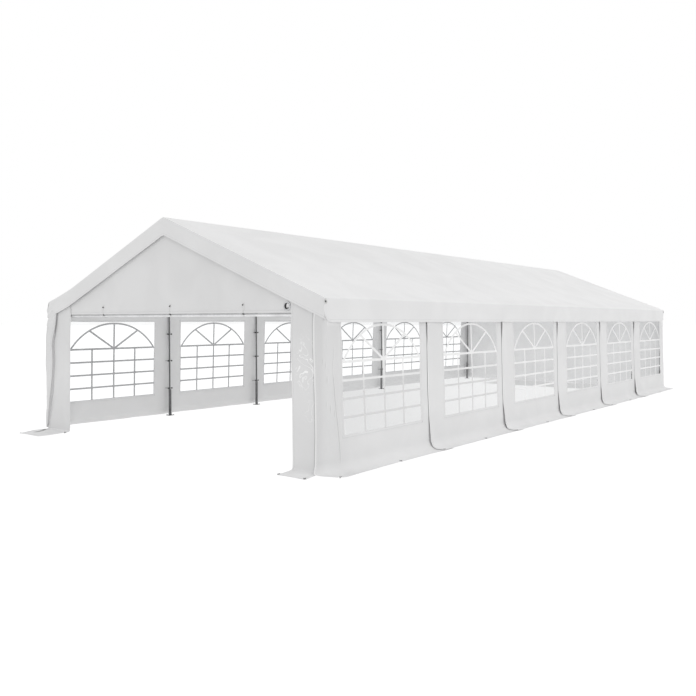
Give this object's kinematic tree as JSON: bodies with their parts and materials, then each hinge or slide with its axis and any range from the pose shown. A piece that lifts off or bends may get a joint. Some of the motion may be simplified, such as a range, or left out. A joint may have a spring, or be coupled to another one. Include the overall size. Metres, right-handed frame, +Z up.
{
  "type": "party marquee tent",
  "caption": "Long gabled party marquee of white fabric on a steel tube frame, with arched window walls, ground skirts and one open gable end.",
  "frame": {"origin": "on the ground, at the middle of the plan", "axes": "+Z up, +Y along the ridge towards the closed rear end, -Y towards the open gable end, +X to the right seen from the open end"},
  "size_m": [5.6, 12.6, 2.825],
  "materials": {
    "galvanised_steel": "dull galvanised steel tube",
    "roof_fabric": "white coated woven sheeting, slight sheen",
    "wall_fabric": "white coated woven sheeting, slight sheen",
    "window_film": "clear glossy film",
    "port_steel": "bright polished rim",
    "elastic_cord": "dark braided elastic",
    "dark_plastic": "moulded, matt",
    "peg_steel": "plain steel rod"
  },
  "bodies": {
    "root": {"corner_flap_left": "wall_fabric", "corner_flap_right": "wall_fabric", "eave_rail_left": "galvanised_steel", "eave_rail_right": "galvanised_steel", "gable_front": "wall_fabric", "gable_port_rim": "port_steel", "gable_rear": "wall_fabric", "post_left_1": "galvanised_steel", "post_left_2": "galvanised_steel", "post_left_3": "galvanised_steel", "post_left_4": "galvanised_steel", "post_left_5": "galvanised_steel", "post_left_6": "galvanised_steel", "post_left_7": "galvanised_steel", "post_right_1": "galvanised_steel", "post_right_2": "galvanised_steel", "post_right_3": "galvanised_steel", "post_right_4": "galvanised_steel", "post_right_5": "galvanised_steel", "post_right_6": "galvanised_steel", "post_right_7": "galvanised_steel", "rafter_pair_1": "galvanised_steel", "rafter_pair_2": "galvanised_steel", "rafter_pair_3": "galvanised_steel", "rafter_pair_4": "galvanised_steel", "rafter_pair_5": "galvanised_steel", "rafter_pair_6": "galvanised_steel", "rafter_pair_7": "galvanised_steel", "rear_wall": "wall_fabric", "ridge_tube": "galvanised_steel", "roof_cover": "roof_fabric", "tie_bar_front": "galvanised_steel", "tie_bar_rear": "galvanised_steel", "wall_left_1": "wall_fabric", "wall_left_2": "wall_fabric", "wall_left_3": "wall_fabric", "wall_left_4": "wall_fabric", "wall_left_5": "wall_fabric", "wall_left_6": "wall_fabric", "wall_right_1": "wall_fabric", "wall_right_2": "wall_fabric", "wall_right_3": "wall_fabric", "wall_right_4": "wall_fabric", "wall_right_5": "wall_fabric", "wall_right_6": "wall_fabric", "window_film_left": "window_film", "window_film_right": "window_film"}
  },
  "joints": []
}
